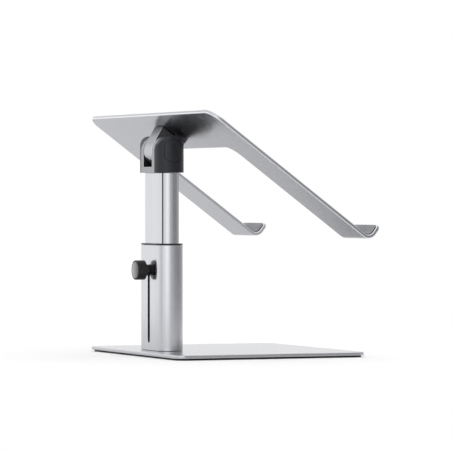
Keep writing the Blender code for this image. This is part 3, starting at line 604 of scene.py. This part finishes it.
# ---- base and column -------------------------------------------------------------------
def build_base():
    outline = rectangle(BASE_LOW.x, BASE_HIGH.x, BASE_LOW.y, BASE_HIGH.y, BASE_CORNER,
                        WIDE_CORNER)
    plate = prism("base_plate_finished", outline, BASE_LOW.z, BASE_HIGH.z)
    soften(plate, BASE_EDGE)
    combine(plate, [screw_hole(FOOT_TOP, x, y, BASE_LOW.z, upwards=True)
                    for x, y in FOOT_SCREWS])
    line_faces(plate, BASE_SIDE, lambda centre, normal: abs(normal.x) > 0.99)
    put(plate, "anodised_aluminium", "base", ["base_plate"], look="base_aluminium")


def build_outer_column():
    bore = OUTER_RADIUS - TUBE_WALL
    edge = OUTER_TUBE_EDGE
    tube = turned("outer_tube_finished", rounded_outline(
        [(OUTER_RADIUS, OUTER_LOW.z, edge), (OUTER_RADIUS, OUTER_HIGH.z, edge),
         (bore, OUTER_HIGH.z, edge), (bore, OUTER_LOW.z, edge)], 3),
        HALF_FLAT, hollow=True, steps=ROUND)
    slot_low = BASE_HIGH.z + SLOT_START - GAP
    slot_high = STUD_HEIGHT + GAP
    slot = [(x, (slot_high + slot_low) / 2 + z)
            for z, x in slot_shape((slot_high - slot_low) / 2, SLOT_RADIUS, SMALL)]
    combine(tube, [prism("slot", slot, 0, OUTER_RADIUS + OVERRUN, "y")])
    around = 1.5 * SLOT_RADIUS
    soften(tube, SLOT_EDGE, 2, lambda edge: abs(edge.verts[0].co.x) < 2 * SLOT_RADIUS
           and slot_low - around < edge.verts[0].co.z < slot_high + around
           and edge.verts[0].co.y > 0)
    put(tube, "anodised_aluminium", "base", ["outer_tube"], look="tube_aluminium")

    outer_slide = bore - GAP
    inner_slide = INNER_RADIUS + GAP
    lip_bottom = OUTER_HIGH.z + GAP
    collar = turned("top_collar_finished", rounded_outline(
        [(outer_slide, COLLAR_LOW.z, 0.0003), (outer_slide, lip_bottom, 0),
         (OUTER_RADIUS, lip_bottom, 0.0001), (OUTER_RADIUS, COLLAR_HIGH.z, 0.0004),
         (inner_slide, COLLAR_HIGH.z, 0.0003), (inner_slide, COLLAR_LOW.z, 0.0003)], 4),
        HALF_FLAT, hollow=True, steps=ROUND)
    put(collar, "black_plastic", "base", ["top_collar"])


def in_groove(centre, normal):
    """Whether a face of the inner tube lines one of the four grooves down its corners."""
    x = abs(centre.x) - HALF_FLAT - INNER_RADIUS * math.cos(GROOVE_ANGLE)
    y = abs(centre.y) - INNER_RADIUS * math.sin(GROOVE_ANGLE)
    return math.hypot(x, y) < GROOVE_RADIUS * 1.02 and abs(normal.z) < 0.5


def build_inner_tube():
    bore = INNER_RADIUS - TUBE_WALL
    edge = INNER_TUBE_EDGE
    tube = turned("inner_tube_finished", rounded_outline(
        [(INNER_RADIUS, INNER_LOW.z, edge), (INNER_RADIUS, INNER_HIGH.z, edge),
         (bore, INNER_HIGH.z, edge), (bore, INNER_LOW.z, edge)], 3),
        HALF_FLAT, hollow=True, steps=ROUND)
    cutters = [pin("stud_hole", SLOT_RADIUS, 0, OUTER_RADIUS, "y", (0, STUD_HEIGHT))]
    for side in (-1, 1):
        for end in (-1, 1):
            x = side * (HALF_FLAT + INNER_RADIUS * math.cos(GROOVE_ANGLE))
            y = end * INNER_RADIUS * math.sin(GROOVE_ANGLE)
            cutters.append(pin("groove", GROOVE_RADIUS, INNER_LOW.z - OVERRUN,
                               INNER_HIGH.z + OVERRUN, "z", (x, y), GROOVE_STEPS))
    combine(tube, cutters)
    line_faces(tube, GROOVE_METAL, in_groove)
    put(tube, "anodised_aluminium", "mast", ["inner_tube"], look="tube_aluminium")


# ---- head ------------------------------------------------------------------------------
def head_profile(drop):
    return [(-HEAD_RADIUS, -drop), (HEAD_RADIUS, -drop)] + \
        arc((0, 0), HEAD_RADIUS, 0, math.pi, ROUND)


def build_yoke():
    yoke = prism("yoke_finished", head_profile(HEAD_DROP), -YOKE_HALF, YOKE_HALF, "x")
    depth = HEAD_RADIUS + OVERRUN
    window = prism("window", rectangle(-WINDOW_HALF, WINDOW_HALF, YOKE_RAIL - HEAD_DROP, depth),
                   -depth, depth, "y")
    combine(yoke, [window])
    soften(yoke, YOKE_EDGE)
    reach = YOKE_HALF + OVERRUN
    cutters = [pin("bolt_hole", BOLT_RADIUS + SCREW_GAP, -reach, reach, "x")]
    cutters += [screw_hole(YOKE_SCREW_LENGTH + GAP + SCREW_SINK, x, y, YOKE_RAIL - HEAD_DROP)
                for x, y in YOKE_SCREWS]
    for side in (-1, 1):
        for centre in PEGS:
            cutters.append(pin("peg_hole", PEG_RADIUS + GAP, side * (YOKE_HALF - PEG_LENGTH),
                               side * reach, "x", centre))
    combine(yoke, cutters)
    # The window's inner faces get the near-black painted shade.
    line_faces(yoke, YOKE_INSIDE, lambda centre, normal: abs(centre.x) < WINDOW_HALF + TOUCH
               and abs(normal.y) < 0.3 and centre.z > YOKE_RAIL - HEAD_DROP - TOUCH)
    put(yoke, "yoke_aluminium", "mast", ["yoke"], MAST)


def cap_outline(shrink=0.0, radius=CAP_RADIUS):
    """Circle about the hinge axis with its front and rear cut off straight."""
    radius = radius - shrink
    half_width = CAP_HALF_WIDTH - shrink
    lean = math.acos(half_width / radius)
    return arc((0, 0), radius, lean, math.pi - lean, ROUND // 2) + \
        arc((0, 0), radius, math.pi + lean, 2 * math.pi - lean, ROUND // 2)


def round_end(name, side, inner, shrink=0.0):
    """One round end of the head, from a plane across it outwards."""
    radius = HEAD_RADIUS - shrink
    lean = math.acos((inner - HEAD_HALF_FLAT) / radius)
    outline = arc((HEAD_HALF_FLAT, 0), radius, -lean, lean, ROUND)
    if side < 0:
        outline = [(-x, y) for x, y in outline]
    return prism(name, outline, -HEAD_DROP, HEAD_RADIUS + OVERRUN)


def build_covers():
    reach = HEAD_HALF_FLAT + HEAD_RADIUS + OVERRUN
    for name, side in (("left", -1), ("right", 1)):
        inner = YOKE_HALF + GAP
        cover = round_end("side_cover_%s_finished" % name, side, inner)
        keep = prism("keep", head_profile(HEAD_DROP + OVERRUN), side * YOKE_HALF,
                     side * reach, "x")
        combine(cover, [keep], "INTERSECT")
        soften(cover, COVER_EDGE)
        combine(cover, [prism("cap_hole", cap_outline(), side * CAP_SEAT, side * reach, "x"),
                        prism("bolt_room", cap_outline(radius=CAP_LEDGE),
                              side * YOKE_HALF, side * reach, "x")])
        pegs = [pin("peg", PEG_RADIUS, side * (inner - PEG_LENGTH), side * (inner + OVERRUN),
                    "x", centre) for centre in PEGS]
        combine(cover, pegs, "UNION")
        put(cover, "dark_plastic", "mast", ["side_cover_" + name], MAST)

        cap = round_end("cover_cap_%s_finished" % name, side, CAP_SEAT + GAP, CAP_PROUD)
        keep = prism("keep", cap_outline(GAP), side * CAP_SEAT, side * reach, "x")
        combine(cap, [keep], "INTERSECT")
        soften(cap, CAP_EDGE, 2)
        put(cap, "dark_plastic", "mast", ["cover_cap_" + name], MAST)


# ---- clamp knob ------------------------------------------------------------------------
def build_clamp():
    """Pieces on the clamp screw's axis; heights here run out from the tube's rear face."""
    washer = turned("clamp_washer_finished", rounded_outline(
        [(KNOB_NECK_RADIUS, GAP, WASHER_EDGE),
         (KNOB_NECK_RADIUS, GAP + WASHER_THICKNESS, WASHER_EDGE),
         (SLOT_RADIUS, GAP + WASHER_THICKNESS, 0), (SLOT_RADIUS, GAP, 0)], 4),
        hollow=True, steps=ROUND // 2)
    put(washer, "black_plastic", "clamp_washer", ["clamp_washer"], CLAMP)

    recess = KNOB_RADIUS - KNOB_RIM
    floor = KNOB_END - KNOB_CAP - GAP
    stud_end = floor - 2 * KNOB_CAP
    profile = lathe_profile([(KNOB_NECK_RADIUS, KNOB_NECK, 0.0001),
                             (KNOB_NECK_RADIUS, KNOB_BODY, 0),
                             (KNOB_RADIUS, KNOB_BODY, 0.00015), (KNOB_RADIUS, KNOB_END, 0.0005),
                             (recess, KNOB_END, 0.00012), (recess, floor, 0)])
    knob = turned("clamp_knob_finished", profile, steps=ROUND)
    bore = pin("bore", STUD_RADIUS + GAP, KNOB_NECK - OVERRUN, stud_end + GAP)
    put(combine(knob, [bore]), "black_plastic", "clamp_screw", ["clamp_knob"], CLAMP)

    cap_radius = recess - GAP
    cap = turned("knob_cap_finished", lathe_profile(
        [(cap_radius, KNOB_END - KNOB_CAP, 0), (cap_radius, KNOB_END, KNOB_CAP / 4)]),
        steps=ROUND)
    put(cap, "anodised_aluminium", "clamp_screw", ["knob_cap"], CLAMP, look="knob_disc")


# ---- support plate ---------------------------------------------------------------------
def bend_up(point):
    """Where a point of the flat sheet goes when the arm's end is bent up square."""
    past = -point.y - HOOK_BEND_START
    if past <= 0:
        return point
    middle_radius = HOOK_INNER_RADIUS + PLATE_THICKNESS / 2
    centre_height = PLATE_OFFSET + PLATE_THICKNESS + HOOK_INNER_RADIUS
    radius = centre_height - point.z
    bend = min(past / middle_radius, math.pi / 2)
    beyond = past - bend * middle_radius
    return Vector((point.x, -HOOK_BEND_START - radius * math.sin(bend),
                   centre_height - radius * math.cos(bend) + beyond))


def flat_length_to(height):
    middle_radius = HOOK_INNER_RADIUS + PLATE_THICKNESS / 2
    return middle_radius * math.pi / 2 + height - PLATE_THICKNESS - HOOK_INNER_RADIUS


def bent_sheet(name, outline, low, high, edge_radius, segments=5):
    """Flat sheet cut to an outline, its edges rounded, then bent up at the hooks."""
    solid = prism(name, outline, low, high)
    soften(solid, edge_radius, segments)
    bm = bmesh.new()
    bm.from_mesh(solid.data)
    bend_length = (HOOK_INNER_RADIUS + PLATE_THICKNESS / 2) * math.pi / 2
    for step in range(BEND + 1):
        line = -HOOK_BEND_START - bend_length * step / BEND
        bmesh.ops.bisect_plane(bm, geom=bm.verts[:] + bm.edges[:] + bm.faces[:],
                               plane_co=(0, line, 0), plane_no=(0, 1, 0))
    for vertex in bm.verts:
        vertex.co = bend_up(vertex.co)
    bm.to_mesh(solid.data)
    bm.free()
    return solid


def plate_screw_holes():
    length = PLATE_SCREW_LENGTH + GAP + SCREW_SINK
    return [screw_hole(length, x, y, PLATE_OFFSET + PLATE_THICKNESS)
            for x, y in PLATE_SCREWS.values()]


def build_support_plate():
    half = PLATE_WIDTH / 2
    gap = PLATE_GAP / 2
    tip = -HOOK_BEND_START - flat_length_to(HOOK_HEIGHT)
    outline = rounded_outline([(half, PLATE_REAR, PLATE_REAR_CORNER),
                               (-half, PLATE_REAR, PLATE_REAR_CORNER),
                               (-half, tip, HOOK_CORNER), (-gap, tip, HOOK_CORNER),
                               (-gap, -PLATE_BRIDGE_FRONT, PLATE_INNER_CORNER),
                               (gap, -PLATE_BRIDGE_FRONT, PLATE_INNER_CORNER),
                               (gap, tip, HOOK_CORNER), (half, tip, HOOK_CORNER)],
                              PLATE_CORNER_STEPS)
    plate = bent_sheet("support_plate_finished", outline, PLATE_OFFSET,
                       PLATE_OFFSET + PLATE_THICKNESS, PLATE_EDGE)
    combine(plate, plate_screw_holes())
    put(plate, "anodised_aluminium", "platform", ["support_plate"], PLATFORM)
    for corner, (x, y) in PLATE_SCREWS.items():
        screw = flat_head_screw("plate_screw_%s_finished" % corner, PLATE_SCREW_LENGTH)
        put(screw, "steel", "platform", ["plate_screw_" + corner], PLATFORM,
            (x, y, PLATE_OFFSET + PLATE_THICKNESS - SCREW_SINK))


def build_tongue():
    """Knuckle that hangs from the plate into the yoke's slot."""
    top = PLATE_OFFSET - GAP
    rear = TONGUE_RADIUS / math.cos(TONGUE_FLARE) + top * math.tan(TONGUE_FLARE)
    lowest = -math.asin(math.sqrt(TONGUE_RADIUS ** 2 - TONGUE_FRONT ** 2) / TONGUE_RADIUS)
    outline = arc((0, 0), TONGUE_RADIUS, math.pi - lowest, 2 * math.pi - TONGUE_FLARE, ROUND)
    outline += [(rear, top), (-TONGUE_FRONT, top)]
    tongue = prism("hinge_tongue_finished", outline, -TONGUE_HALF, TONGUE_HALF, "x")
    soften(tongue, TONGUE_EDGE)
    reach = TONGUE_HALF + OVERRUN
    bore = pin("bore", BUSH_RADIUS + GAP, -reach, reach, "x")
    combine(tongue, [bore] + plate_screw_holes())
    line_faces(tongue, TONGUE_SIDE, lambda centre, normal: abs(normal.x) > 0.9)
    put(tongue, "anodised_aluminium", "platform", ["hinge_tongue"], PLATFORM,
        look="tongue_aluminium")


def build_pads():
    """Soft strips on the plate's upper side and inside its hooks."""
    low = PLATE_OFFSET + PLATE_THICKNESS + GAP
    high = low + PAD_THICKNESS
    liner_end = -HOOK_BEND_START - flat_length_to(HOOK_HEIGHT - LINER_TOP_INSET)
    strips = {"rear_pad": rectangle(-REAR_PAD_HALF, REAR_PAD_HALF,
                                    REAR_PAD_REAR - REAR_PAD_WIDTH, REAR_PAD_REAR, PAD_CORNER)}
    for name, side in (("left", -1), ("right", 1)):
        middle = side * ARM_MIDDLE
        strips["hook_liner_" + name] = rectangle(middle - LINER_HALF, middle + LINER_HALF,
                                                 liner_end, LINER_START, PAD_CORNER)
        strips["arm_pad_" + name] = rectangle(middle - ARM_PAD_HALF, middle + ARM_PAD_HALF,
                                              ARM_PAD_FRONT, ARM_PAD_REAR, PAD_CORNER)
    for node, strip in strips.items():
        pad = bent_sheet(node + "_finished", strip, low, high, PAD_EDGE, 3)
        put(pad, "grey_silicone", "platform", [node], PLATFORM)


# ---- pieces that keep their CAD shape --------------------------------------------------
def finish_cad_nodes():
    slots = {part["node"]: part["material_slot"] for part in frame["record"]["subparts"]}
    for node, solid in frame["nodes"].items():
        solid.data.materials.clear()
        solid.data.materials.append(MATERIALS[slots[node]][0])


# ---- surroundings ----------------------------------------------------------------------
FLOOR_RADIUS = 0.8
BRIGHTEST = 2.0                # of anything in the studio; 1 shows as white
# Brightness at the horizon by direction, in degrees anticlockwise from +X.
HORIZON = [(0, 1.2), (23, 1.4), (60, 1.55), (100, 1.08), (122, 1.45), (145, 1.85), (165, 1.5),
           (188, 0.78), (215, 0.48), (250, 0.42), (275, 0.58), (300, 0.8), (337, 1.05)]
OVERHEAD = 1.27
BACKDROP = 1.0                 # what the camera sees of the studio itself
OVERHEAD_START = 0.25          # sine of the height where the overhead light starts
OVERHEAD_FULL = 0.8            # and where it alone is left


def build_floor():
    bm = bmesh.new()
    bm.faces.new([bm.verts.new((x, y, 0)) for x, y in slot_shape(0, FLOOR_RADIUS, ROUND)])
    floor = finish_mesh("floor", bm)
    surface = Surface("floor_white", 0.9)
    surface.colours(surface.noise(1.5, 2), (0.86, 0.86, 0.865), (0.875, 0.875, 0.88))
    floor.data.materials.clear()
    floor.data.materials.append(surface.material)


def grey(level):
    return (level / BRIGHTEST,) * 3 + (1,)


def build_studio():
    """White room: bright behind and above, softer on the side of the hooks."""
    world = bpy.data.worlds.new("studio")
    bpy.context.scene.world = world
    world.use_nodes = True
    tree = world.node_tree
    nodes, links = tree.nodes, tree.links

    direction = nodes.new("ShaderNodeTexCoord").outputs["Generated"]
    parts = nodes.new("ShaderNodeSeparateXYZ")
    links.new(direction, parts.inputs[0])
    angle = nodes.new("ShaderNodeMath")
    angle.operation = "ARCTAN2"
    links.new(parts.outputs["Y"], angle.inputs[0])
    links.new(parts.outputs["X"], angle.inputs[1])
    turn = nodes.new("ShaderNodeMapRange")
    turn.inputs["From Min"].default_value = -math.pi
    turn.inputs["From Max"].default_value = math.pi
    links.new(angle.outputs[0], turn.inputs["Value"])

    # The ramp starts and ends at -X.
    ramp = nodes.new("ShaderNodeValToRGB")
    ramp.color_ramp.interpolation = "EASE"
    stops = sorted(((degrees + 180) % 360 / 360, level) for degrees, level in HORIZON)
    stops = [(0.0, stops[0][1])] + stops + [(1.0, stops[0][1])]
    elements = ramp.color_ramp.elements
    elements.remove(elements[0])
    elements[0].position = 0.0
    for index, (position, level) in enumerate(stops):
        element = elements[0] if index == 0 else elements.new(position)
        element.color = grey(level)
    links.new(turn.outputs["Result"], ramp.inputs["Fac"])

    height = nodes.new("ShaderNodeMapRange")
    height.interpolation_type = "SMOOTHSTEP"
    height.inputs["From Min"].default_value = OVERHEAD_START
    height.inputs["From Max"].default_value = OVERHEAD_FULL
    links.new(parts.outputs["Z"], height.inputs["Value"])
    light = nodes.new("ShaderNodeMix")
    light.data_type = "RGBA"
    links.new(height.outputs["Result"], light.inputs["Factor"])
    links.new(ramp.outputs["Color"], light.inputs["A"])
    light.inputs["B"].default_value = grey(OVERHEAD)

    sight = nodes.new("ShaderNodeLightPath")
    seen = nodes.new("ShaderNodeMix")
    seen.data_type = "RGBA"
    links.new(sight.outputs["Is Camera Ray"], seen.inputs["Factor"])
    links.new(light.outputs["Result"], seen.inputs["A"])
    seen.inputs["B"].default_value = grey(BACKDROP)
    background = nodes["Background"]
    links.new(seen.outputs["Result"], background.inputs["Color"])
    background.inputs["Strength"].default_value = BRIGHTEST


CAMERA_HEADING = math.radians(23)      # off the stand's width axis
CAMERA_DISTANCE = 3.16179
CAMERA_ASIDE = 0.057735
CAMERA_HEIGHT = 0.14283
CAMERA_PITCH = math.radians(0.47948)   # down
CAMERA_LENS = 279.8044                 # mm, on a sensor 36 mm wide


def build_camera():
    """Almost level view through a long lens, from the knob's side."""
    up = Vector((0, 0, 1))
    ahead = Vector((math.cos(CAMERA_HEADING), -math.sin(CAMERA_HEADING), 0))
    right = Vector((-math.sin(CAMERA_HEADING), -math.cos(CAMERA_HEADING), 0))
    view = (ahead * math.cos(CAMERA_PITCH) - up * math.sin(CAMERA_PITCH)).normalized()
    camera = bpy.data.objects.new("camera", bpy.data.cameras.new("camera"))
    camera.data.sensor_width = 36
    camera.data.lens = CAMERA_LENS
    camera.data.clip_end = 40
    camera.location = -ahead * CAMERA_DISTANCE + right * CAMERA_ASIDE + up * CAMERA_HEIGHT
    camera.rotation_mode = "QUATERNION"
    camera.rotation_quaternion = view.to_track_quat("-Z", "Y")
    bpy.context.scene.collection.objects.link(camera)
    bpy.context.scene.camera = camera


finish_cad_nodes()
build_base()
build_outer_column()
build_inner_tube()
build_yoke()
build_covers()
build_clamp()
build_support_plate()
build_tongue()
build_pads()
build_floor()
build_studio()
build_camera()
bpy.context.scene.view_settings.view_transform = "Standard"
